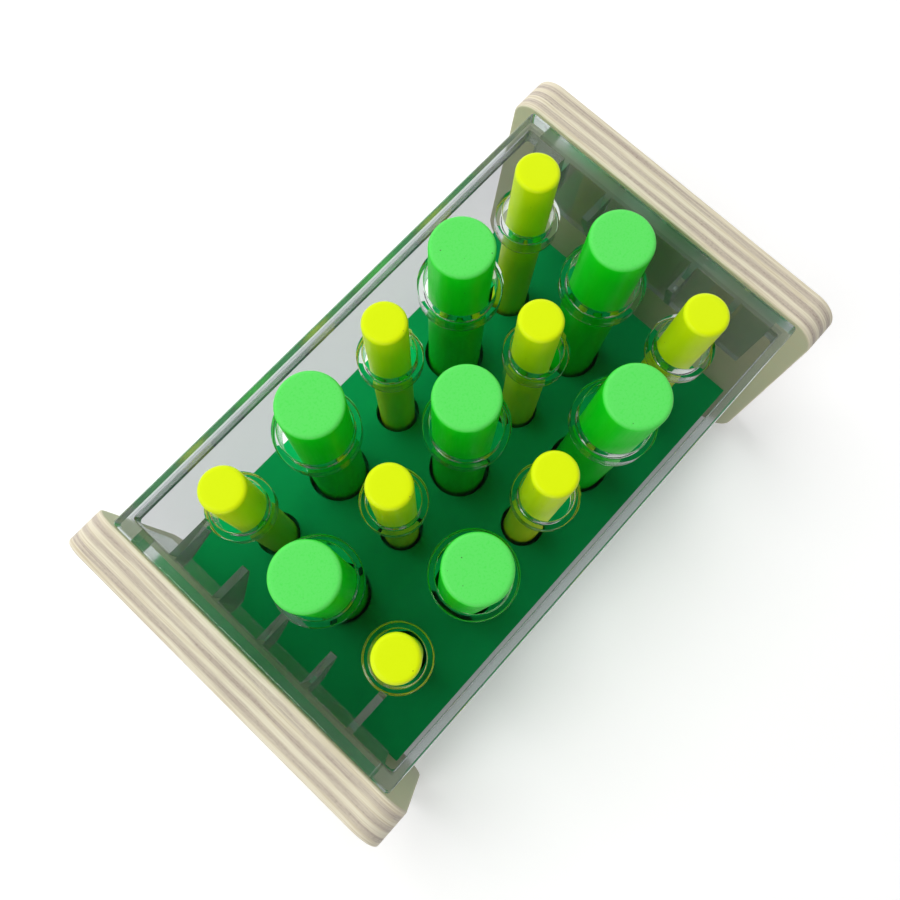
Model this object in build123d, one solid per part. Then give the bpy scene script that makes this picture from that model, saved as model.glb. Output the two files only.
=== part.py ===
from build123d import *
from math import sqrt
import os

# A peg board toy: two plywood end plates carry a thick green plate and a clear moulded top.
# Fifteen loose pegs, thin and thick in a checkerboard, pass through collars of the clear top
# and stand in blind sockets of the green plate.
# Frame: millimetres, +Z up, the origin on the table under the middle of the board, +X along the board.

# Layout of the pegs
PITCH = 30.0             # spacing of the pegs, along and across the board
ROWS = 5                 # along X
COLUMNS = 3              # along Y
THIN_PEG_D = 12.5
THICK_PEG_D = 18.5
PEG_STAND_OUT = 22.5     # height of a standing peg above the clear top
PEG_EDGE_R = 1.3         # rounding of both ends of a peg
PEG_PLAY = 1.4           # radial room around a peg in its collar and in its socket

# Heights, from the table up
LEG_ROOM = 16.5          # table to the underside of the green plate
PEG_PLATE_T = 16.2
SOCKET_FLOOR_T = 3.5     # left under a peg
CAVITY_H = 61.8          # green plate to the underside of the clear panel
PANEL_T = 3.0

# Edges of the green plate and the clear top, measured from the outer peg axes
END_MARGIN = 26.7
SIDE_MARGIN = 21.5

# Clear top: a panel with a low rim all round and a deeper flange at each end
END_WALL_T = 4.4         # the rim at the ends, and the flanges
SIDE_WALL_T = 2.5        # the rim along the sides
RIM_DROP = 6.0           # rim below the panel's underside
FLANGE_DROP = 30.0       # flange below the panel's underside
FLANGE_INSET = 5.5       # end of a flange from the side of the clear top
RIM_ROOT_R = 0.4         # where the inside of the rim meets the panel
CORNER_R = 1.2           # the four upright corners, inside and out
OUTER_R = 0.8            # rounding of the top edges
COLLAR_WALL_T = 2.1
COLLAR_DROP = 6.0        # collar below the panel's underside
COLLAR_LEAD_IN = 0.5     # bevel at the mouth of a collar
RIB_COUNT = 5            # at each end
RIB_T = 2.2
RIB_SPACING = 16.7
RIB_FOOT = 2.0           # flat end of a rib at the flange
OUTER_RIB_H = 12.5       # the two outermost ribs, which run to a collar
MIDDLE_RIB_H = 17.5      # the middle rib, which runs to a collar
FREE_RIB_H = 26.5        # the ribs between them, which end under the panel
FREE_RIB_REACH = 11.5

# Plywood end plates
END_PLATE_T = 12.0
END_PLATE_RISE = 1.0     # above the clear panel
END_PLATE_OVERHANG = 6.8  # beyond the side of the clear top, at the plate's top edge
END_PLATE_SPLAY = 4.5    # how much further out the foot is, on each side
TOP_CORNER_R = 9.0
FOOT_CORNER_R = 15.0
EASED_EDGE_R = 0.8

# Glued dowels between the end plates and the green plate
DOWEL_D = 8.0
DOWEL_IN_END_PLATE = 8.0
DOWEL_IN_PEG_PLATE = 12.0
DOWEL_INSET = 16.0       # dowel axis from the side of the green plate
GLUE_GAP = 0.1           # room around and beyond a dowel

# Sizes and heights that follow from those above
board_length = (ROWS - 1) * PITCH + 2 * END_MARGIN
board_width = (COLUMNS - 1) * PITCH + 2 * SIDE_MARGIN
peg_plate_top = LEG_ROOM + PEG_PLATE_T
panel_underside = peg_plate_top + CAVITY_H
panel_top = panel_underside + PANEL_T
end_plate_height = panel_top + END_PLATE_RISE
socket_floor = LEG_ROOM + SOCKET_FLOOR_T
peg_length = panel_top + PEG_STAND_OUT - socket_floor
end_wall_inner_x = board_length / 2 - END_WALL_T
outer_row_x = (ROWS - 1) / 2 * PITCH
OVERSHOOT = 1.0          # how far cutting tools run past the faces they cut


def peg_places():
    """Row, column, place and diameter of every peg; row 1 is at +X and column 1 at +Y."""
    for row in range(1, ROWS + 1):
        for column in range(1, COLUMNS + 1):
            x = ((ROWS + 1) / 2 - row) * PITCH
            y = ((COLUMNS + 1) / 2 - column) * PITCH
            is_thin = (row + column) % 2 == 0
            yield row, column, x, y, THIN_PEG_D if is_thin else THICK_PEG_D


def upright_cylinder(radius, bottom, top):
    """A cylinder on the Z axis between two heights."""
    return Pos(0, 0, (bottom + top) / 2) * Cylinder(radius, top - bottom)


def block(length, width, bottom, top):
    """A box centred on the Z axis between two heights."""
    return Pos(0, 0, (bottom + top) / 2) * Box(length, width, top - bottom)


def peg(diameter):
    """A round peg with softened ends, standing on the floor of its socket."""
    body = upright_cylinder(diameter / 2, socket_floor, socket_floor + peg_length)
    return fillet(body.edges().filter_by(GeomType.CIRCLE), min(PEG_EDGE_R, diameter / 4))


def bore_radius(diameter):
    return diameter / 2 + PEG_PLAY


def collar_radius(diameter):
    return bore_radius(diameter) + COLLAR_WALL_T


def peg_holes(bottom, top):
    """The holes for all the pegs between two heights."""
    return [
        Pos(x, y, 0) * upright_cylinder(bore_radius(diameter), bottom, top)
        for row, column, x, y, diameter in peg_places()
    ]


def dowel_places():
    """The end (-1 or +1) and the Y place of each dowel."""
    y = board_width / 2 - DOWEL_INSET
    return [(end, side * y) for end in (-1, 1) for side in (-1, 1)]


def dowel_shape(radius, into_end_plate, into_peg_plate, end, y):
    """A cylinder along X across the joint between an end plate and the green plate."""
    length = into_end_plate + into_peg_plate
    x = end * (board_length / 2 + (into_end_plate - into_peg_plate) / 2)
    z = LEG_ROOM + PEG_PLATE_T / 2
    return Pos(x, y, z) * Rot(0, 90, 0) * Cylinder(radius, length)


def dowel(end, y):
    return dowel_shape(DOWEL_D / 2, DOWEL_IN_END_PLATE, DOWEL_IN_PEG_PLATE, end, y)


def dowel_hole(end, y):
    return dowel_shape(
        DOWEL_D / 2 + GLUE_GAP, DOWEL_IN_END_PLATE + GLUE_GAP, DOWEL_IN_PEG_PLATE + GLUE_GAP, end, y
    )


def end_plate(end):
    """A splayed plywood plate with rounded corners and eased edges."""
    half_top = board_width / 2 + END_PLATE_OVERHANG
    half_foot = half_top + END_PLATE_SPLAY
    outline = Polygon(
        (-half_foot, 0), (half_foot, 0), (half_top, end_plate_height), (-half_top, end_plate_height),
        align=None,
    )
    outline = fillet(outline.vertices().group_by(Axis.Y)[0], FOOT_CORNER_R)
    outline = fillet(outline.vertices().group_by(Axis.Y)[-1], TOP_CORNER_R)
    plate = extrude(Plane.YZ * outline, END_PLATE_T)
    plate = fillet(plate.faces().filter_by(Axis.X).edges(), min(EASED_EDGE_R, END_PLATE_T / 4))
    left = board_length / 2 if end > 0 else -board_length / 2 - END_PLATE_T
    plate = Pos(left, 0, 0) * plate
    for dowel_end, y in dowel_places():
        if dowel_end == end:
            plate -= dowel_hole(end, y)
    return plate


def peg_plate():
    """The green plate with a blind socket for each peg and the dowel holes in its ends."""
    plate = block(board_length, board_width, LEG_ROOM, peg_plate_top)
    plate -= peg_holes(socket_floor, peg_plate_top + OVERSHOOT)
    plate -= [dowel_hole(end, y) for end, y in dowel_places()]
    return plate


def rimmed_panel():
    """The panel with its low rim, open below."""
    rim_foot = panel_underside - RIM_DROP
    outside = block(board_length, board_width, rim_foot, panel_top)
    outside = fillet(outside.edges().filter_by(Axis.Z), CORNER_R)
    outside = fillet(outside.edges().group_by(Axis.Z)[-1], min(OUTER_R, SIDE_WALL_T / 2))
    inside = block(
        2 * end_wall_inner_x, board_width - 2 * SIDE_WALL_T, rim_foot - OVERSHOOT, panel_underside
    )
    inside = fillet(inside.edges().filter_by(Axis.Z), CORNER_R)
    return outside - fillet(inside.edges().group_by(Axis.Z)[-1], RIM_ROOT_R)


def flange(end):
    """The deep flange in the middle of one end, which is glued to the end plate."""
    width = board_width - 2 * FLANGE_INSET
    upright = block(END_WALL_T, width, panel_underside - FLANGE_DROP, panel_underside)
    return Pos(end * (board_length - END_WALL_T) / 2, 0, 0) * upright


def collars():
    """Tubes around the peg holes, still solid, from the panel down."""
    return [
        Pos(x, y, 0) * upright_cylinder(
            collar_radius(diameter), panel_underside - COLLAR_DROP, panel_top
        )
        for row, column, x, y, diameter in peg_places()
    ]


def collar_bores():
    """The way down for each peg through its collar and past the ribs, with a small bevel on top."""
    bores = peg_holes(panel_underside - FLANGE_DROP, panel_top + OVERSHOOT)
    bevels = [
        Pos(x, y, panel_top - COLLAR_LEAD_IN / 2) * Cone(
            bore_radius(diameter), bore_radius(diameter) + COLLAR_LEAD_IN, COLLAR_LEAD_IN
        )
        for row, column, x, y, diameter in peg_places()
    ]
    return bores + bevels


def collar_face_x(y):
    """Where a rib at this Y meets the outside of a collar of the last row at +X, or None if it misses."""
    for row, column, x, collar_y, diameter in peg_places():
        offset = abs(y - collar_y)
        if row == 1 and offset < collar_radius(diameter):
            return x + sqrt(collar_radius(diameter) ** 2 - offset**2)
    return None


def rib_outline(height, y):
    """A rib's side view at the +X end, from inside the flange to a collar or to its free tip."""
    wall_x = end_wall_inner_x + END_WALL_T / 2
    root_z = panel_underside + PANEL_T / 2
    foot_z = panel_underside - height
    face_x = collar_face_x(y)
    if face_x is None:
        tip_x = end_wall_inner_x - FREE_RIB_REACH
        inner_end = [(tip_x, root_z), (tip_x, panel_underside - RIB_T)]
    else:
        collar_foot_z = panel_underside - COLLAR_DROP
        inner_end = [(outer_row_x, root_z), (outer_row_x, collar_foot_z), (face_x, collar_foot_z)]
    return inner_end + [(end_wall_inner_x - RIB_FOOT, foot_z), (wall_x, foot_z), (wall_x, root_z)]


def rib(index):
    """One rib at the +X end; those in line with a collar run to it, the others end free."""
    middle = (RIB_COUNT - 1) / 2
    y = (index - middle) * RIB_SPACING
    if index in (0, RIB_COUNT - 1):
        height = OUTER_RIB_H
    elif index == middle:
        height = MIDDLE_RIB_H
    else:
        height = FREE_RIB_H
    profile = Plane.XZ * Polygon(*rib_outline(height, y), align=None)
    return Pos(0, y + RIB_T / 2, 0) * extrude(profile, RIB_T)


def clear_top():
    """The clear moulding: panel, flanges, collars and ribs in one piece, then bored for the pegs."""
    ribs = [rib(index) for index in range(RIB_COUNT)]
    top = rimmed_panel() + [flange(-1), flange(1)] + collars()
    top = top + ribs + [mirror(one, Plane.YZ) for one in ribs]
    return top - collar_bores()


def save(shape, name):
    shape = shape.solid() if isinstance(shape, (Part, Compound)) and len(shape.solids()) == 1 else shape
    shape.label = name
    export_step(shape, os.path.join("parts", name + ".step"))
    print(name, "solids", len(shape.solids()), "volume", round(shape.volume, 1))


os.makedirs("parts", exist_ok=True)
save(end_plate(-1), "end_plate_near")
save(end_plate(1), "end_plate_far")
save(peg_plate(), "peg_plate")
save(clear_top(), "clear_top")
for number, (end, y) in enumerate(dowel_places(), start=1):
    save(dowel(end, y), f"dowel_{number}")
for row, column, x, y, diameter in peg_places():
    thickness = "thin" if diameter == THIN_PEG_D else "thick"
    save(Pos(x, y, 0) * peg(diameter), f"peg_r{row}_c{column}_{thickness}")
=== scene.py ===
# %% [markdown]
# # A clear-topped peg board
# Two plywood end plates carry a green plate and a clear moulded top. Fifteen loose pegs, thin
# yellow ones and thick green ones in a checkerboard, pass through collars of the clear top and stand
# in sockets of the green plate. The board's plain solids come in as a fixed frame, already at their
# real size. This script gives every surface its finish, and remakes the pieces whose look needs a
# finer mesh: the clear top and the pegs.

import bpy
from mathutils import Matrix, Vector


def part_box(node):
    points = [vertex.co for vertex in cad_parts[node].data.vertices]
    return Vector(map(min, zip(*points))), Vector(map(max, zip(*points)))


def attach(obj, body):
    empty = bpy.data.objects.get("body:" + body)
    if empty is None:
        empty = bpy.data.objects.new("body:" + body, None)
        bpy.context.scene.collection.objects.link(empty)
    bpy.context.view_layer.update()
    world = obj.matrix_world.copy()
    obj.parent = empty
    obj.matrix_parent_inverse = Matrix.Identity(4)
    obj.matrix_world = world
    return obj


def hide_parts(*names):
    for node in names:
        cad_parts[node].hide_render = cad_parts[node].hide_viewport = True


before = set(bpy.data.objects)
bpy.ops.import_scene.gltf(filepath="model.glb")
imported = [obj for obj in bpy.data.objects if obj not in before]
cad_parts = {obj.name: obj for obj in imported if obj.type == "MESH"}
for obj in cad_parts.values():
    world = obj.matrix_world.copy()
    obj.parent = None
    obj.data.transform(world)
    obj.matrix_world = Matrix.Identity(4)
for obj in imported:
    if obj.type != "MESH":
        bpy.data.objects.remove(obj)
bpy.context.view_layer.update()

# %% Tools used throughout
from math import cos, hypot, pi, radians, sin, sqrt

import bmesh
import bpy
from mathutils import Matrix, Vector

MM = 0.001

# %% [markdown]
# ## Reading the board's layout
# The pegs' places and sizes are read from the frame, so that collars, pegs and paint always meet.
# A peg node is named after its row and column, such as peg_r2_c3_thick. The clear top's box gives
# its outer faces and the foot of its flanges, and its thicknesses are named here as the moulder
# would name them. A hair's breadth of air, LIGHT_GAP, parts its ends from the plywood: without it
# the clear ends would lose their mirror-like insides.

# %% Places of the pegs and of the clear top
class PegPlace:
    """Where one peg stands, read from its node's box."""

    def __init__(self, node):
        low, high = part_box(node)
        self.node = node
        self.body = node.rsplit("_", 1)[0]
        self.is_thin = node.endswith("thin")
        self.x = (low.x + high.x) / 2
        self.y = (low.y + high.y) / 2
        self.foot = low.z
        self.top = high.z
        self.radius = (high.x - low.x) / 2


peg_places = [PegPlace(node) for node in sorted(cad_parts) if node.startswith("peg_r")]
top_low, top_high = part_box("clear_top")
print(len(peg_places), "pegs,", sum(place.is_thin for place in peg_places), "of them thin")

# %% Thicknesses of the clear moulding
PANEL_T = 3.0 * MM
END_WALL_T = 4.4 * MM
SIDE_WALL_T = 2.5 * MM
RIM_DROP = 6.0 * MM
FLANGE_INSET = 5.5 * MM
LIGHT_GAP = 0.08 * MM
PEG_PLAY = 1.4 * MM
COLLAR_WALL_T = 2.1 * MM
COLLAR_DROP = 6.0 * MM
panel_top = top_high.z
panel_underside = panel_top - PANEL_T
end_wall_inner_x = top_high.x - END_WALL_T
side_wall_inner_y = top_high.y - SIDE_WALL_T
rim_foot = panel_underside - RIM_DROP
end_face_x = top_high.x - LIGHT_GAP
print("panel from", round(panel_underside / MM, 1), "to", round(panel_top / MM, 1), "mm")

# %% [markdown]
# ## Small helpers for node materials
# A finish is a little network of shader nodes. These helpers keep each network short: one makes the
# material, one adds a node with its settings, and one joins two sockets. The coordinates are the
# object's own, in metres, so that grain and specks have a real size and never slide.

# %% Material helpers
def new_material(name):
    """An empty material and its node tree."""
    material = bpy.data.materials.new(name)
    material.use_nodes = True
    material.node_tree.nodes.clear()
    return material, material.node_tree


def add(tree, kind, **settings):
    """A node of that kind; a setting names a property of the node, or an input by its name."""
    node = tree.nodes.new(kind)
    for key, value in settings.items():
        if hasattr(node, key):
            setattr(node, key, value)
        else:
            node.inputs[key.replace("_", " ")].default_value = value
    return node


def join(tree, source, target):
    tree.links.new(source, target)


def output(tree, shader):
    join(tree, shader, add(tree, "ShaderNodeOutputMaterial").inputs["Surface"])


def object_place(tree, scale=(1, 1, 1)):
    """The object's own coordinates, stretched by scale."""
    coordinates = add(tree, "ShaderNodeTexCoord")
    mapping = add(tree, "ShaderNodeMapping", Scale=scale)
    join(tree, coordinates.outputs["Object"], mapping.inputs["Vector"])
    return mapping.outputs["Vector"]


def noise_at(tree, place, scale, detail=2.0, roughness=0.5):
    node = add(tree, "ShaderNodeTexNoise", Scale=scale, Detail=detail, Roughness=roughness)
    join(tree, place, node.inputs["Vector"])
    return node.outputs["Fac"]


def maths(tree, operation, first, second=None, third=None):
    """One Math node; each value is a number or a socket."""
    node = add(tree, "ShaderNodeMath", operation=operation)
    for socket, value in zip(node.inputs, (first, second, third)):
        if value is None:
            continue
        if isinstance(value, (int, float)):
            socket.default_value = value
        else:
            join(tree, value, socket)
    return node.outputs["Value"]


def spread(tree, value, low, high, to_low=0.0, to_high=1.0):
    """Stretches the range from low to high over another range, and clamps it there."""
    node = add(tree, "ShaderNodeMapRange")
    node.inputs["From Min"].default_value = low
    node.inputs["From Max"].default_value = high
    node.inputs["To Min"].default_value = to_low
    node.inputs["To Max"].default_value = to_high
    join(tree, value, node.inputs["Value"])
    return node.outputs["Result"]


def mix_colours(tree, share, first, second, blend="MIX"):
    """Blends two colours; each is a colour or a socket, and share is a number or a socket."""
    node = add(tree, "ShaderNodeMix", data_type="RGBA", blend_type=blend)
    for socket, value in ((node.inputs[0], share), (node.inputs[6], first), (node.inputs[7], second)):
        if hasattr(value, "links"):
            join(tree, value, socket)
        else:
            socket.default_value = value if isinstance(value, (int, float)) else (*value, 1.0)
    return node.outputs[2]


def bump(tree, height, distance, strength=1.0):
    node = add(tree, "ShaderNodeBump", Strength=strength, Distance=distance)
    join(tree, height, node.inputs["Height"])
    return node.outputs["Normal"]


def give(obj, material):
    """Puts a material in every slot of an object."""
    if not obj.data.materials:
        obj.data.materials.append(material)
    for slot in obj.material_slots:
        slot.material = material


# %% [markdown]
# ## Plywood
# The end plates are cut from seven-ply board. Its edge shows the plies as stripes: the plies whose
# grain runs along the edge are creamy and smooth, and the ones between, cut across the grain, are
# tan and full of tiny open pores. An image of plywood would have to be unwrapped round the corners.
# Here the whole look is worked out from how deep a point lies in the board, so the stripes run true
# round every rounded corner by themselves.

# %% Colours of the plywood
CREAM = (0.82, 0.76, 0.60)
DEEP_CREAM = (0.60, 0.51, 0.35)
TAN = (0.50, 0.42, 0.35)
DARK_PORE = (0.26, 0.20, 0.15)
# The inner veneer colour is painted shade and painted green light from the plate and pegs.
SHADED_INNER_VENEER = (0.56, 0.53, 0.38)

# %% Depth in the board
PLIES = 7
PLY_WANDER = 0.022
PLY_RAGGEDNESS = 0.045
plate_low, plate_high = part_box("end_plate_far")
plate_thickness = plate_high.x - plate_low.x
print("plies of", round(plate_thickness / PLIES / MM, 2), "mm")


def board_depth(tree):
    """0 at the face that looks at the pegs, 1 at the outer face."""
    axes = add(tree, "ShaderNodeSeparateXYZ")
    join(tree, object_place(tree), axes.inputs["Vector"])
    depth = maths(tree, "SUBTRACT", maths(tree, "ABSOLUTE", axes.outputs["X"]), plate_low.x)
    return maths(tree, "DIVIDE", depth, plate_thickness)


# %% [markdown]
# The glue lines of real plywood are never quite straight. So the depth is bent twice before it is
# read as plies: a slow wave for the pressed sheets, and a fine ragged one for the saw cut. A ping-pong
# of the bent depth then rises and falls once for every pair of plies, and a steep slope turns that
# wave into two kinds of stripe.

# %% Stripes of the plies
def cross_grain_plies(tree, depth):
    """1 in the tan plies, 0 in the creamy ones."""
    wander = noise_at(tree, object_place(tree, (25, 45, 45)), 1.0, 3.0)
    ragged = noise_at(tree, object_place(tree, (1500, 45, 45)), 1.0, 4.0, 0.65)
    bent = maths(tree, "ADD", depth, spread(tree, wander, 0.2, 0.8, -PLY_WANDER, PLY_WANDER))
    bent = maths(tree, "ADD", bent, spread(tree, ragged, 0.2, 0.8, -PLY_RAGGEDNESS, PLY_RAGGEDNESS))
    phase = maths(tree, "ADD", maths(tree, "MULTIPLY", bent, PLIES / 2), 0.75)
    return spread(tree, maths(tree, "PINGPONG", phase, 0.5), 0.17, 0.33)


# %% [markdown]
# Each kind of ply then gets its own streaks. Streaks are noise that is squeezed hard across the board
# and stretched along it. The broad faces show one veneer with longer grain. On the inner faces it is
# painted darker and greener than outside: that is painted shade, with painted green light thrown back
# by the plate and pegs. Each is laid over the plies only within a hair of its own face.

# %% Plywood finish
def plywood():
    material, tree = new_material("plywood")
    depth = board_depth(tree)
    streaks = noise_at(tree, object_place(tree, (2600, 35, 35)), 1.0, 5.0, 0.7)
    pores = noise_at(tree, object_place(tree, (2400, 1300, 1300)), 1.0, 3.0, 0.7)
    cream = mix_colours(tree, spread(tree, streaks, 0.44, 0.64, 0.0, 0.85), CREAM, DEEP_CREAM)
    tan = mix_colours(tree, spread(tree, pores, 0.5, 0.66, 0.0, 0.6), TAN, DARK_PORE)
    tan = mix_colours(tree, spread(tree, streaks, 0.42, 0.62, 0.0, 0.55), tan, CREAM)
    colour = mix_colours(tree, cross_grain_plies(tree, depth), cream, tan)
    grain = noise_at(tree, object_place(tree, (30, 14, 520)), 1.0, 5.0, 0.65)
    # Painted shade: the inner faces get the darker, greener veneer colour.
    inner = mix_colours(tree, spread(tree, grain, 0.35, 0.7, 0.0, 0.5), SHADED_INNER_VENEER, DEEP_CREAM)
    outer = mix_colours(tree, spread(tree, grain, 0.35, 0.7, 0.0, 0.7), CREAM, DEEP_CREAM)
    colour = mix_colours(tree, spread(tree, depth, 0.004, 0.02, 1.0, 0.0), colour, inner)
    colour = mix_colours(tree, spread(tree, depth, 0.98, 0.996), colour, outer)
    shader = add(tree, "ShaderNodeBsdfPrincipled", Roughness=0.5)
    shader.inputs["Specular IOR Level"].default_value = 0.4
    join(tree, colour, shader.inputs["Base Color"])
    join(tree, bump(tree, pores, 0.00005, 0.4), shader.inputs["Normal"])
    output(tree, shader.outputs["BSDF"])
    return material


plywood_finish = plywood()
for node in ("end_plate_near", "end_plate_far"):
    give(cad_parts[node], plywood_finish)
print("end plates finished")

# %% [markdown]
# ## Green plate
# The plate is a smooth dark green board with a satin lacquer. One flat colour would look like plain
# plastic sheet, so slow noise drifts the green a little and lets the gloss vary with it, and a finer
# noise, cut off near its peaks, leaves a few pale specks of dust.

# %% Green plate finish
LACQUER_DEEP = (0.0, 0.40, 0.100)
LACQUER_PALE = (0.0, 0.46, 0.118)
DUST = (0.25, 0.5, 0.35)


def green_lacquer():
    material, tree = new_material("green_plate_lacquer")
    patches = noise_at(tree, object_place(tree, (30, 30, 30)), 1.0, 3.0)
    specks = noise_at(tree, object_place(tree, (700, 700, 700)), 1.0, 2.0, 0.6)
    colour = mix_colours(tree, patches, LACQUER_DEEP, LACQUER_PALE)
    colour = mix_colours(tree, spread(tree, specks, 0.78, 0.84, 0.0, 0.5), colour, DUST)
    shader = add(tree, "ShaderNodeBsdfPrincipled")
    shader.inputs["Specular IOR Level"].default_value = 0.15
    join(tree, colour, shader.inputs["Base Color"])
    join(tree, spread(tree, patches, 0.2, 0.8, 0.35, 0.5), shader.inputs["Roughness"])
    output(tree, shader.outputs["BSDF"])
    return material


give(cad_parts["peg_plate"], green_lacquer())
print("green plate finished")

# %% [markdown]
# ## Hidden dowels
# Four glued dowels hold the green plate between the end plates. They are raw beech and can't be seen
# in the finished board, but a piece that may one day be looked at alone still gets its own wood.

# %% Raw beech for the hidden dowels
def raw_beech():
    material, tree = new_material("raw_beech")
    grain = noise_at(tree, object_place(tree, (80, 900, 900)), 1.0, 3.0)
    shader = add(tree, "ShaderNodeBsdfPrincipled", Roughness=0.7)
    colour = mix_colours(tree, grain, (0.6, 0.42, 0.25), (0.45, 0.3, 0.17))
    join(tree, colour, shader.inputs["Base Color"])
    output(tree, shader.outputs["BSDF"])
    return material


raw_beech_finish = raw_beech()
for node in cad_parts:
    if node.startswith("dowel"):
        give(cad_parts[node], raw_beech_finish)
print("dowels finished")

# %% [markdown]
# ## Painted pegs
# Each peg is a turned wooden rod with rounded ends, dipped in bright paint. It is remade here as a
# lathe shape: a profile from the middle of the foot to the middle of the top, swept round. A cylinder
# with a bevel would do too, but a profile says exactly what the lathe cuts, and the collars and bores
# of the clear top can use the same sweep later.

# %% Shape helpers
def new_piece(name, mesh):
    obj = bpy.data.objects.new(name, mesh)
    bpy.context.collection.objects.link(obj)
    return obj


def lathe_mesh(name, profile, segments):
    """Sweeps a profile of (radius, height) points round the Z axis; its two ends lie on the axis."""
    shape = bmesh.new()
    rings = []
    for radius, height in profile:
        if radius == 0:
            rings.append([shape.verts.new((0, 0, height))])
        else:
            angles = [2 * pi * i / segments for i in range(segments)]
            rings.append([shape.verts.new((radius * cos(a), radius * sin(a), height)) for a in angles])
    for lower, upper in zip(rings, rings[1:]):
        for i in range(segments):
            j = (i + 1) % segments
            corners = [lower[i % len(lower)], lower[j % len(lower)]]
            corners += [upper[j % len(upper)], upper[i % len(upper)]]
            shape.faces.new(list(dict.fromkeys(corners)))
    bmesh.ops.recalc_face_normals(shape, faces=shape.faces)
    mesh = bpy.data.meshes.new(name)
    shape.to_mesh(mesh)
    shape.free()
    return mesh


def quarter_round(centre, radius, start, end, steps):
    """Points on an arc round a centre (radius, height), from one angle to another in degrees."""
    return [
        (centre[0] + radius * cos(radians(start + (end - start) * i / steps)),
         centre[1] + radius * sin(radians(start + (end - start) * i / steps)))
        for i in range(steps + 1)
    ]


# %% Peg shape
PEG_SEGMENTS = 96
PEG_EDGE_R = 1.3 * MM


def peg_profile(place):
    """The peg's side view from foot to top: a flat foot, a straight side, a flat top, and rounded edges."""
    radius, height = place.radius, place.top - place.foot
    inner = radius - PEG_EDGE_R
    flat = [(inner * share, 0.0) for share in (0, 0.5)]
    foot = quarter_round((inner, PEG_EDGE_R), PEG_EDGE_R, -90, 0, 6)
    side = [(radius, PEG_EDGE_R + (height - 2 * PEG_EDGE_R) * i / 12) for i in range(1, 12)]
    rim = quarter_round((inner, height - PEG_EDGE_R), PEG_EDGE_R, 0, 90, 8)
    top = [(inner * share, height) for share in (0.8, 0.6, 0.4, 0.2, 0)]
    return flat + foot + side + rim + top


# %% [markdown]
# The real pegs are loose: each one leans a little inside its collar and its socket, and no two lean
# alike. The table gives how far each peg's top stands from upright, in mm along X and Y. A lean that
# is too large for the collar pushes the peg's foot the other way, as it does in the real socket.

# %% Lean of each peg
LEAN = {
    "peg_r1_c1": (0.2, 0.1), "peg_r1_c2": (0.75, 0.3), "peg_r1_c3": (-0.2, 0.3),
    "peg_r2_c1": (-0.3, 0.2), "peg_r2_c2": (-1.5, 1.1), "peg_r2_c3": (0.15, -0.8),
    "peg_r3_c1": (0.05, 0.6), "peg_r3_c2": (-0.2, 1.2), "peg_r3_c3": (0.3, 1.5),
    "peg_r4_c1": (1.1, -0.8), "peg_r4_c2": (-0.4, -0.1), "peg_r4_c3": (-0.5, -0.1),
    "peg_r5_c1": (0.9, -0.3), "peg_r5_c2": (-0.5, -0.4), "peg_r5_c3": (0.55, 0.0),
}
COLLAR_CLEARANCE = 0.2 * MM


def lean_matrix(place):
    """Tilts a peg about its foot so that its top moves as LEAN says, inside the collar's play."""
    top_shift = Vector((*LEAN[place.body], 0.0)) * MM
    height = place.top - place.foot
    at_collar = (panel_top - place.foot) / height
    room = PEG_PLAY - COLLAR_CLEARANCE
    collar_shift = top_shift * at_collar
    if collar_shift.length > room:
        collar_shift = collar_shift.normalized() * room
    slope = (top_shift - collar_shift) / (place.top - panel_top)
    foot_shift = top_shift - slope * height
    axis = Vector((slope.x, slope.y, 1.0)).normalized()
    turn = Vector((0, 0, 1)).rotation_difference(axis).to_matrix().to_4x4()
    lift = place.radius * hypot(slope.x, slope.y)
    return Matrix.Translation(Vector((place.x, place.y, place.foot + lift)) + foot_shift) @ turn


# %% [markdown]
# ## Gloss paint
# The paint is bright and a little uneven, and along the side it lies on smooth long grain. The top is
# painted paler than the side, and the colour follows how far the surface faces upwards: that is a
# painted sheen of the light from above. The streaks are noise stretched along the peg, the tiny dark
# pits come from Voronoi cells, and a second noise lets only a few of those cells show.

# %% Paint finish
PIT_COLOUR = (0.03, 0.05, 0.01)


def dark_pits(tree):
    """1 in a few tiny round pits, 0 elsewhere."""
    cells = add(tree, "ShaderNodeTexVoronoi", Scale=420.0)
    join(tree, object_place(tree), cells.inputs["Vector"])
    pit = spread(tree, cells.outputs["Distance"], 0.05, 0.09, 1.0, 0.0)
    chance = noise_at(tree, object_place(tree, (330, 330, 330)), 1.0, 0.0)
    return maths(tree, "MULTIPLY", pit, spread(tree, chance, 0.62, 0.66))


def facing_up(tree):
    """0 on the side of a peg, rising to 1 on its top."""
    facing = add(tree, "ShaderNodeSeparateXYZ")
    join(tree, add(tree, "ShaderNodeTexCoord").outputs["Normal"], facing.inputs["Vector"])
    return spread(tree, facing.outputs["Z"], 0.15, 0.85)


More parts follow.
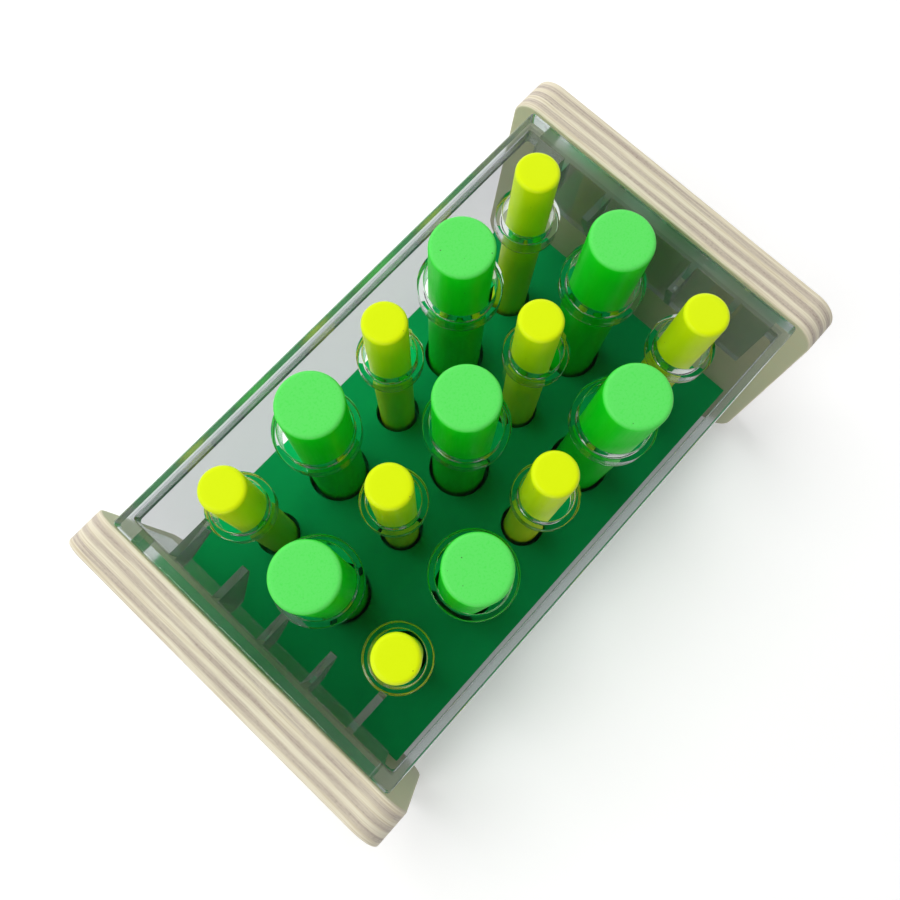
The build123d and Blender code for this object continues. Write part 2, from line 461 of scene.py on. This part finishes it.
def paint(name, bright, deep, lit_top_colour):
    """Gloss paint on turned wood with soft streaks and tiny dark pits, painted paler on top as a painted
    sheen of the light from above.
    """
    material, tree = new_material(name)
    grain = noise_at(tree, object_place(tree, (260, 1400, 60)), 1.0, 4.0, 0.6)
    cloud = noise_at(tree, object_place(tree, (220, 220, 60)), 1.0, 2.0)
    freckles = noise_at(tree, object_place(tree, (1500, 1500, 1500)), 1.0, 3.0, 0.6)
    side = mix_colours(tree, spread(tree, cloud, 0.3, 0.7), bright, deep)
    top = mix_colours(tree, spread(tree, freckles, 0.5, 0.72, 0.0, 0.3), lit_top_colour, bright)
    # Painted light: the top is paler than the side, as a painted sheen of the light from above.
    colour = mix_colours(tree, facing_up(tree), side, top)
    colour = mix_colours(tree, maths(tree, "MULTIPLY", dark_pits(tree), 0.8), colour, PIT_COLOUR)
    shader = add(tree, "ShaderNodeBsdfPrincipled")
    shader.inputs["Specular IOR Level"].default_value = 0.2
    join(tree, colour, shader.inputs["Base Color"])
    join(tree, spread(tree, grain, 0.2, 0.8, 0.3, 0.45), shader.inputs["Roughness"])
    join(tree, bump(tree, grain, 0.00006, 0.5), shader.inputs["Normal"])
    output(tree, shader.outputs["BSDF"])
    return material


yellow_paint = paint("yellow_peg_paint", (0.69, 0.87, 0.0), (0.65, 0.83, 0.0), (0.72, 0.90, 0.004))
green_paint = paint("green_peg_paint", (0.005, 0.74, 0.01), (0.0, 0.68, 0.005), (0.12, 0.78, 0.13))
print("paints mixed:", yellow_paint.name, "and", green_paint.name)

# %% Make and place the pegs
def painted_peg(place):
    obj = new_piece("painted_" + place.node, lathe_mesh(place.node, peg_profile(place), PEG_SEGMENTS))
    obj.data.transform(lean_matrix(place))
    obj.data.polygons.foreach_set("use_smooth", [True] * len(obj.data.polygons))
    give(obj, yellow_paint if place.is_thin else green_paint)
    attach(obj, place.body)
    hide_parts(place.node)
    return obj


pegs = [painted_peg(place) for place in peg_places]
print("made", len(pegs), "pegs")

# %% [markdown]
# ## Clear top
# The top is one clear moulding: a panel with a low rim, a deep flange at each end, a collar round
# every peg and five small ribs that brace each flange. Light bends at every one of its surfaces, so
# its mesh must be closed and clean. It could be modelled by hand, face by face. Built as a moulder
# would describe it, each size stays a number: the outside block, less the hollow, plus flanges,
# collars and ribs, less the bores. Boolean modifiers do the adding and the cutting.

# %% Blocks and booleans
def rounded_block(name, low, high, radius, is_rounded, steps=6):
    """A block whose chosen edges are rounded; is_rounded looks at an edge's middle and direction."""
    shape = bmesh.new()
    bmesh.ops.create_cube(shape, size=1.0)
    low, high = Vector(low), Vector(high)
    for vert in shape.verts:
        vert.co = Vector([(low[i] + high[i]) / 2 + vert.co[i] * (high[i] - low[i]) for i in range(3)])
    middle = (low + high) / 2
    chosen = []
    for edge in shape.edges:
        centre = (edge.verts[0].co + edge.verts[1].co) / 2 - middle
        direction = (edge.verts[1].co - edge.verts[0].co).normalized()
        if is_rounded(centre, direction):
            chosen.append(edge)
    bmesh.ops.bevel(shape, geom=chosen, offset=radius, segments=steps, profile=0.5, affect="EDGES")
    mesh = bpy.data.meshes.new(name)
    shape.to_mesh(mesh)
    shape.free()
    return new_piece(name, mesh)


def joined(name, objects):
    """One object that holds the meshes of several, which are then removed."""
    shape = bmesh.new()
    for obj in objects:
        shape.from_mesh(obj.data)
        bpy.data.objects.remove(obj)
    mesh = bpy.data.meshes.new(name)
    shape.to_mesh(mesh)
    shape.free()
    return new_piece(name, mesh)


def combine(base, tool, operation):
    """Adds the tool to the base, or cuts it away, and removes the tool."""
    modifier = base.modifiers.new("combine", "BOOLEAN")
    modifier.object = tool
    modifier.operation = operation
    modifier.solver = "EXACT"
    modifier.use_self = True
    graph = bpy.context.evaluated_depsgraph_get()
    result = bpy.data.meshes.new_from_object(base.evaluated_get(graph))
    base.modifiers.clear()
    base.data = result
    bpy.data.objects.remove(tool)
    return base


# %% Parts of the clear moulding
RIM_ROOT_R = 0.4 * MM
CORNER_R = 1.2 * MM
OUTER_R = 0.8 * MM
MOUTH_R = 0.5 * MM
OVERSHOOT = 1.0 * MM
COLLAR_SEGMENTS = 96


def is_upright(centre, direction):
    return abs(direction.z) > 0.9


def is_lower_edge_along_x(centre, direction):
    return centre.z < 0 and abs(direction.x) > 0.9


def rimmed_panel():
    """The panel with its low rim: a rounded block with a rounded hollow cut into it from below."""
    outside = rounded_block(
        "clear_top_moulding",
        (-end_face_x, top_low.y, rim_foot), (end_face_x, top_high.y, panel_top),
        CORNER_R, is_upright,
    )
    soften_top(outside, OUTER_R)
    hollow = rounded_block(
        "hollow",
        (-end_wall_inner_x, -side_wall_inner_y, rim_foot - OVERSHOOT),
        (end_wall_inner_x, side_wall_inner_y, panel_underside),
        CORNER_R, is_upright,
    )
    soften_top(hollow, RIM_ROOT_R)
    return combine(outside, hollow, "DIFFERENCE")


def soften_top(obj, radius, steps=4):
    """Rounds the edges round the top face of a block."""
    shape = bmesh.new()
    shape.from_mesh(obj.data)
    top = max(vert.co.z for vert in shape.verts)
    rim = [
        edge for edge in shape.edges
        if all(top - vert.co.z < 0.001 * MM for vert in edge.verts) and not edge.is_boundary
        and any(abs(face.normal.z) < 0.5 for face in edge.link_faces)
    ]
    bmesh.ops.bevel(shape, geom=rim, offset=radius, segments=steps, profile=0.5, affect="EDGES")
    shape.to_mesh(obj.data)
    shape.free()


def flange(end):
    """The deep flange in the middle of one end; its upper part is sunk into the rim."""
    low_x, high_x = sorted((end * end_wall_inner_x, end * end_face_x))
    half_width = top_high.y - FLANGE_INSET
    return rounded_block(
        "flange",
        (low_x, -half_width, top_low.z), (high_x, half_width, panel_underside),
        MOUTH_R / 2, is_lower_edge_along_x, steps=3,
    )


# %% [markdown]
# A collar starts as a solid plug that hangs from the panel, and the bore that is cut later leaves it
# hollow. Cutting every bore in one go keeps the mouths crisp, and a small round at both mouths
# catches the bright rings that show where each peg goes in.

# %% Collars and bores


def placed(mesh_name, profile, place):
    obj = new_piece(mesh_name, lathe_mesh(mesh_name, profile, COLLAR_SEGMENTS))
    obj.data.transform(Matrix.Translation((place.x, place.y, 0)))
    return obj


def collar(place):
    """The outside of a collar as a solid plug, from mid-panel down, with a softened lower edge."""
    outer = place.radius + PEG_PLAY + COLLAR_WALL_T
    foot = panel_underside - COLLAR_DROP
    profile = [(0, foot)] + quarter_round((outer - MOUTH_R, foot + MOUTH_R), MOUTH_R, -90, 0, 4)
    profile += [(outer, panel_underside + PANEL_T / 2), (0, panel_underside + PANEL_T / 2)]
    return placed("collar", profile, place)


def bore(place):
    """The way for a peg, flared by a small round at both mouths of its collar."""
    inner = place.radius + PEG_PLAY
    foot = panel_underside - COLLAR_DROP
    lower = quarter_round((inner + MOUTH_R, foot + MOUTH_R), MOUTH_R, 270, 180, 4)
    upper = quarter_round((inner + MOUTH_R, panel_top - MOUTH_R), MOUTH_R, 180, 90, 4)
    wide = inner + MOUTH_R
    profile = [(0, foot - OVERSHOOT), (wide, foot - OVERSHOOT)] + lower + upper
    profile += [(wide, panel_top + OVERSHOOT), (0, panel_top + OVERSHOOT)]
    return placed("bore", profile, place)


# %% [markdown]
# The five ribs at each end brace the flange. The outer pair and the middle one run into the collars
# of the last row of pegs, and the two between them end free under the panel. All of them are thin
# slabs with a slanting lower edge, drawn as an outline in side view and then given their thickness.

# %% Ribs
RIB_COUNT = 5
RIB_T = 2.2 * MM
RIB_SPACING = 16.7 * MM
RIB_FOOT = 2.0 * MM
OUTER_RIB_H = 12.5 * MM
MIDDLE_RIB_H = 17.5 * MM
FREE_RIB_H = 26.5 * MM
FREE_RIB_REACH = 11.5 * MM


def collar_face_x(y):
    """Where a rib at this Y meets a collar of the last row at +X, and that row's X, or None."""
    last_row = max(place.x for place in peg_places)
    for place in peg_places:
        outer = place.radius + PEG_PLAY + COLLAR_WALL_T
        offset = abs(y - place.y)
        if abs(place.x - last_row) < MM and offset < outer:
            return place.x + sqrt(outer**2 - offset**2), place.x
    return None


def rib_outline(height, y):
    wall_x = end_wall_inner_x + END_WALL_T / 2
    root_z = panel_underside + PANEL_T / 2
    foot_z = panel_underside - height
    meeting = collar_face_x(y)
    if meeting is None:
        tip_x = end_wall_inner_x - FREE_RIB_REACH
        inner_end = [(tip_x, root_z), (tip_x, panel_underside - RIB_T)]
    else:
        face_x, row_x = meeting
        collar_foot_z = panel_underside - COLLAR_DROP + MOUTH_R
        inner_end = [(row_x, root_z), (row_x, collar_foot_z), (face_x, collar_foot_z)]
    return inner_end + [(end_wall_inner_x - RIB_FOOT, foot_z), (wall_x, foot_z), (wall_x, root_z)]


def rib(index, end):
    """One rib as a thin slab standing along X, at the +X end or mirrored to the -X end."""
    middle = (RIB_COUNT - 1) / 2
    y = (index - middle) * RIB_SPACING
    heights = {0: OUTER_RIB_H, RIB_COUNT - 1: OUTER_RIB_H, middle: MIDDLE_RIB_H}
    height = heights.get(index, FREE_RIB_H)
    shape = bmesh.new()
    outline = [shape.verts.new((end * x, y - RIB_T / 2, z)) for x, z in rib_outline(height, y)]
    face = shape.faces.new(outline)
    swept = bmesh.ops.extrude_face_region(shape, geom=[face])["geom"]
    far_side = [piece for piece in swept if isinstance(piece, bmesh.types.BMVert)]
    bmesh.ops.translate(shape, verts=far_side, vec=(0, RIB_T, 0))
    bmesh.ops.recalc_face_normals(shape, faces=shape.faces)
    mesh = bpy.data.meshes.new("rib")
    shape.to_mesh(mesh)
    shape.free()
    return new_piece("rib", mesh)


# %% [markdown]
# ## A skin fit for clear plastic
# Two things spoil a clear piece: a hole in its skin, and shading normals that lean where the face is
# flat. Booleans can leave points a hair apart, so these are welded and any pinhole is filled. Smooth
# shading would tilt the normals of the big flat faces towards their rounded edges, and every straight
# line seen through them would look torn. Weighted normals let the largest face decide instead.

# %% Clean the skin
SHARP_ANGLE = radians(30)
WELD = 0.002 * MM


def smooth_rounds(obj):
    """Smooth shading on the rounds only: the big flat faces keep their own straight normals."""
    mesh = obj.data
    mesh.polygons.foreach_set("use_smooth", [True] * len(mesh.polygons))
    mesh.set_sharp_from_angle(angle=SHARP_ANGLE)
    modifier = obj.modifiers.new("flat_faces_lead", "WEIGHTED_NORMAL")
    modifier.mode = "FACE_AREA"
    modifier.weight = 100
    modifier.keep_sharp = True
    graph = bpy.context.evaluated_depsgraph_get()
    result = bpy.data.meshes.new_from_object(obj.evaluated_get(graph))
    obj.modifiers.clear()
    obj.data = result


def welded(obj):
    """Welds points that the booleans left a hair apart, and fills any pinhole, so that the skin is closed."""
    shape = bmesh.new()
    shape.from_mesh(obj.data)
    bmesh.ops.remove_doubles(shape, verts=shape.verts, dist=WELD)
    bmesh.ops.dissolve_degenerate(shape, edges=shape.edges, dist=WELD)
    gaps = [edge for edge in shape.edges if edge.is_boundary]
    bmesh.ops.holes_fill(shape, edges=gaps, sides=0)
    loose = [vert for vert in shape.verts if not vert.link_faces]
    bmesh.ops.delete(shape, geom=loose, context="VERTS")
    still_open = sum(not edge.is_manifold for edge in shape.edges)
    print("closed", len(gaps), "open edges;", still_open, "are left")
    shape.to_mesh(obj.data)
    shape.free()


# %% Put the clear top together
def clear_top():
    top = combine(rimmed_panel(), joined("flanges", [flange(-1), flange(1)]), "UNION")
    ribs = [rib(index, end) for index in range(RIB_COUNT) for end in (-1, 1)]
    collars = [collar(place) for place in peg_places]
    top = combine(top, joined("added", ribs + collars), "UNION")
    top = combine(top, joined("bored", [bore(place) for place in peg_places]), "DIFFERENCE")
    welded(top)
    smooth_rounds(top)
    return top


# %% [markdown]
# ## Clear plastic finish
# A glass shader bends and mirrors light, but it would also throw a black shadow over the board inside.
# So rays that carry light to other surfaces pass straight through a transparent shader, and only rays
# that look at the plastic see the glass. Through the broad faces of the panel the glass is tinted a
# strong grey: that is painted shade, for the shade on the table, the plate and the lower pegs seen
# through it. The outside of the walls and the ribs come out of narrow slots of the mould, which aren't
# polished, so they are slightly frosted; their grey tints and slate-grey diffuse colour are painted shade,
# for the dark insides they mirror. Which finish a point gets is worked out from its place, so no seams
# have to be cut into the mesh.

# %% Where each finish lies
SKIN = 0.1 * MM


def inside(tree, value, limit):
    """1 where a value lies between plus and minus the limit, 0 elsewhere."""
    return maths(tree, "LESS_THAN", maths(tree, "ABSOLUTE", value), limit)


def both(tree, first, second):
    """1 where both masks are 1."""
    return maths(tree, "MULTIPLY", first, second)


def place_axes(tree):
    axes = add(tree, "ShaderNodeSeparateXYZ")
    join(tree, object_place(tree), axes.inputs["Vector"])
    return axes.outputs


def on_panel(tree):
    """1 on the broad faces of the panel and in the mouths of the bores, 0 on rims, collars and ribs."""
    axes = place_axes(tree)
    within = both(tree, inside(tree, axes["X"], end_wall_inner_x), inside(tree, axes["Y"], side_wall_inner_y))
    high = maths(tree, "GREATER_THAN", axes["Z"], panel_underside - SKIN / 2)
    return both(tree, within, high)


def below_panel(tree):
    """Two masks for what hangs under the panel: the outside of its walls, and the ribs at both ends."""
    axes = place_axes(tree)
    along = maths(tree, "ABSOLUTE", axes["X"])
    across = maths(tree, "ABSOLUTE", axes["Y"])
    low = maths(tree, "LESS_THAN", axes["Z"], panel_underside - SKIN)
    at_end_wall = maths(tree, "GREATER_THAN", along, end_wall_inner_x + SKIN)
    at_side_wall = maths(tree, "GREATER_THAN", across, side_wall_inner_y + SKIN)
    past_tips = maths(tree, "GREATER_THAN", along, end_wall_inner_x - FREE_RIB_REACH - SKIN)
    before_wall = maths(tree, "LESS_THAN", along, end_wall_inner_x - SKIN)
    within_ribs = maths(tree, "LESS_THAN", across, 2 * RIB_SPACING + RIB_T)
    at_wall = maths(tree, "MAXIMUM", at_end_wall, at_side_wall)
    at_rib = both(tree, both(tree, past_tips, before_wall), within_ribs)
    return both(tree, low, at_wall), both(tree, low, at_rib)


# %% Glass and frost
CLEAR = (0.96, 0.98, 0.975)
PANEL_SHADE_TINT = (0.58, 0.59, 0.61)
WALL_SHADE_TINT = (0.50, 0.53, 0.55)
RIB_SHADE_TINT = (0.55, 0.59, 0.60)
FROST_SHADE_COLOUR = (0.36, 0.41, 0.43)
CLEAR_PASSAGE = (0.96, 0.97, 0.965)
PANEL_PASSAGE = (0.90, 0.91, 0.92)
WALL_MATTNESS = 0.6
FROST_SHARE = 0.35
POLISHED = 0.02
UNPOLISHED = 0.25


def mixed_shaders(tree, share, first, second):
    node = add(tree, "ShaderNodeMixShader")
    join(tree, share, node.inputs["Fac"])
    join(tree, first, node.inputs[1])
    join(tree, second, node.inputs[2])
    return node.outputs["Shader"]


def frosted_glass(tree, panel):
    """Glass that is polished on the panel and the collars and partly frosted on the walls and ribs; its grey
    tints and slate-grey diffuse colour are painted shade.
    """
    walls, ribs = below_panel(tree)
    matt = maths(tree, "MAXIMUM", maths(tree, "MULTIPLY", walls, WALL_MATTNESS), ribs)
    glass = add(tree, "ShaderNodeBsdfPrincipled", IOR=1.5)
    join(tree, spread(tree, matt, 0.0, 1.0, POLISHED, UNPOLISHED), glass.inputs["Roughness"])
    # Painted shade: the grey tints of the panel, walls and ribs darken what is seen through them.
    shade_tint = mix_colours(tree, panel, CLEAR, PANEL_SHADE_TINT)
    shade_tint = mix_colours(tree, walls, shade_tint, WALL_SHADE_TINT)
    join(tree, mix_colours(tree, ribs, shade_tint, RIB_SHADE_TINT), glass.inputs["Base Color"])
    glass.inputs["Transmission Weight"].default_value = 1.0
    # Painted shade: the slate-grey diffuse colour stands in for the dark insides that the walls and ribs
    # mirror.
    slate_shade_diffuse = add(tree, "ShaderNodeBsdfDiffuse", Color=(*FROST_SHADE_COLOUR, 1.0))
    share = maths(tree, "MULTIPLY", matt, FROST_SHARE)
    return mixed_shaders(tree, share, glass.outputs["BSDF"], slate_shade_diffuse.outputs["BSDF"])


def clear_plastic():
    """Clear plastic that lets the lamps' light straight through to what it covers."""
    material, tree = new_material("clear_plastic")
    panel = on_panel(tree)
    passage = add(tree, "ShaderNodeBsdfTransparent")
    join(tree, mix_colours(tree, panel, CLEAR_PASSAGE, PANEL_PASSAGE), passage.inputs["Color"])
    path = add(tree, "ShaderNodeLightPath")
    carries_light = maths(tree, "MAXIMUM", path.outputs["Is Shadow Ray"], path.outputs["Is Diffuse Ray"])
    output(tree, mixed_shaders(tree, carries_light, frosted_glass(tree, panel), passage.outputs["BSDF"]))
    return material


# %% Place the clear top
moulding = clear_top()
moulding.data.materials.clear()
give(moulding, clear_plastic())
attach(moulding, "board")
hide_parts("clear_top")
print("clear top:", len(moulding.data.polygons), "faces")

# %% [markdown]
# ## Table
# The board stands on a plain white table. To look white all round, the table could be flooded with
# light, but then the pegs would burn out too. Instead it keeps an ordinary white of its own and adds
# a faint glow that only eyes, mirrors and clear plastic see. The glow lights nothing, and the shadow
# stays.

# %% Table
TABLE_HALF_SIDE = 4.0
TABLE_WHITE = (0.82, 0.82, 0.82, 1.0)
TABLE_GLOW = (0.3, 0.3, 0.3, 1.0)


def table_finish():
    material, tree = new_material("white_table")
    diffuse = add(tree, "ShaderNodeBsdfDiffuse", Color=TABLE_WHITE)
    glow = add(tree, "ShaderNodeEmission", Color=TABLE_GLOW)
    path = add(tree, "ShaderNodeLightPath").outputs
    mirrored = maths(tree, "MAXIMUM", path["Is Glossy Ray"], path["Is Transmission Ray"])
    join(tree, maths(tree, "MAXIMUM", path["Is Camera Ray"], mirrored), glow.inputs["Strength"])
    total = add(tree, "ShaderNodeAddShader")
    join(tree, diffuse.outputs["BSDF"], total.inputs[0])
    join(tree, glow.outputs["Emission"], total.inputs[1])
    output(tree, total.outputs["Shader"])
    return material


def table_top():
    half = TABLE_HALF_SIDE
    mesh = bpy.data.meshes.new("table")
    corners = [(-half, -half, 0), (half, -half, 0), (half, half, 0), (-half, half, 0)]
    mesh.from_pydata(corners, [], [(0, 1, 2, 3)])
    obj = new_piece("table", mesh)
    give(obj, table_finish())


table_top()
print("table laid")

# %% [markdown]
# ## Room and lamps
# Clear plastic shows mostly what surrounds it. The room has pale walls, which draw the bright edges of
# rims and collars, a little darker on one side so that the end plates keep a shaded face. Its ceiling
# is dark, because the flat panel mirrors the ceiling and would turn milky under a bright one. Only the
# camera sees the room as plain white. The soft boxes light the board from above and from both sides.
# The large ones are hidden from mirrors, so that they leave no glare on the panel.

# %% Room
WALL_STRENGTH = 0.8
CEILING_STRENGTH = 0.02
SHADED_SIDE = 0.3


def pale_room():
    """White walls all round under a dark ceiling, dimmer towards -Y, and plain white for the camera."""
    world = bpy.data.worlds.new("pale_room")
    world.use_nodes = True
    tree = world.node_tree
    direction = add(tree, "ShaderNodeSeparateXYZ")
    join(tree, add(tree, "ShaderNodeTexCoord").outputs["Generated"], direction.inputs["Vector"])
    strength = spread(tree, direction.outputs["Z"], 0.5, 0.7, WALL_STRENGTH, CEILING_STRENGTH)
    shade = spread(tree, direction.outputs["Y"], -0.9, 0.0, SHADED_SIDE, 1.0)
    strength = maths(tree, "MULTIPLY", strength, shade)
    seen = add(tree, "ShaderNodeLightPath").outputs["Is Camera Ray"]
    background = tree.nodes["Background"]
    background.inputs["Color"].default_value = (1.0, 1.0, 1.0, 1.0)
    join(tree, maths(tree, "MAXIMUM", strength, seen), background.inputs["Strength"])
    bpy.context.scene.world = world


pale_room()

# %% Lamps
BOARD_MIDDLE = Vector((0, 0, 0.06))


def soft_lamp(name, heading, height_angle, power, size, distance=1.5, mirrored=True):
    """A round soft box that looks at the board from a heading (degrees from +X) and a height angle."""
    lamp = bpy.data.lights.new(name, "AREA")
    lamp.shape = "DISK"
    lamp.size = size
    lamp.energy = power
    obj = new_piece(name, lamp)
    flat = cos(radians(height_angle))
    towards = Vector((flat * cos(radians(heading)), flat * sin(radians(heading)), sin(radians(height_angle))))
    obj.location = BOARD_MIDDLE + distance * towards
    obj.rotation_euler = (-towards).to_track_quat("-Z", "Y").to_euler()
    obj.visible_glossy = mirrored
    obj.visible_transmission = mirrored
    print(name, "shines with", power, "W")


soft_lamp("overhead_soft_box", 95, 66, 13.0, size=0.9, mirrored=False)
soft_lamp("left_soft_box", 165, 55, 4.0, size=0.5)
soft_lamp("right_soft_box", 10, 50, 3.0, size=0.8, mirrored=False)
soft_lamp("low_soft_box", 222, 14, 1.2, size=0.35, distance=1.0)

# %% [markdown]
# A ray may bounce many times between the faces of a clear wall before it gets out. With too few
# bounces those walls turn black, so the limits are raised.

# %% Light bounces
cycles = bpy.context.scene.cycles
cycles.max_bounces = 16
cycles.glossy_bounces = 12
cycles.transmission_bounces = 16
cycles.transparent_max_bounces = 32

# %% [markdown]
# ## Camera
# The camera looks down on the board from above one corner, close enough for strong perspective. It is
# built from where it stands, what it aims at and which way is up in the view.

# %% Camera
CAMERA_PLACE = Vector((-50.8, -32.65, 326.9)) * MM
CAMERA_AIM = Vector((-8.79, -1.63, 95.0)) * MM
UP_HEADING = radians(42.65)
LENS = 33.76

lens = bpy.data.cameras.new("camera")
lens.lens = LENS
lens.sensor_width = 36.0
lens.clip_start = 0.01
camera = new_piece("camera", lens)
forward = (CAMERA_AIM - CAMERA_PLACE).normalized()
right = forward.cross(Vector((cos(UP_HEADING), sin(UP_HEADING), 0))).normalized()
up = right.cross(forward)
turn = Matrix((right, up, -forward)).transposed().to_4x4()
camera.matrix_world = Matrix.Translation(CAMERA_PLACE) @ turn
bpy.context.scene.camera = camera
bpy.context.scene.view_settings.view_transform = "Standard"
